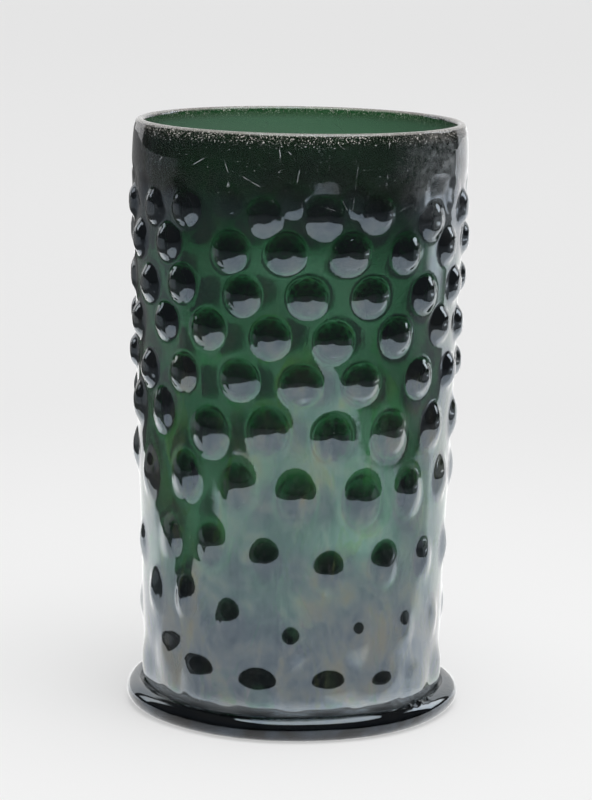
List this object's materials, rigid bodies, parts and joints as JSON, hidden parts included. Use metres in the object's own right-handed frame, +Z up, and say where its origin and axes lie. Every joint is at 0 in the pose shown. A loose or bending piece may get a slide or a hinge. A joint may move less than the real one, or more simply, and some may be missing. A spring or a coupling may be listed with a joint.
{
  "type": "glass beaker",
  "caption": "Tall mould-blown green glass beaker with staggered rows of round bosses, a plain rim band and a thick applied foot ring.",
  "frame": {"origin": "middle of the resting face of the foot ring", "axes": "+Z up along the beaker's axis, -Y towards the pictured front"},
  "size_m": [0.114, 0.114, 0.2],
  "materials": {
    "green_glass": "dark green forest glass, glossy with a faint iridescent bloom",
    "thick_glass": "the same green glass, nearly black in the thick ring",
    "rough_glass": "broken, rough surface of the same green glass"
  },
  "bodies": {
    "root": {"moulded_body": "green_glass", "foot_ring": "thick_glass", "pontil_wad": "rough_glass"}
  },
  "joints": []
}
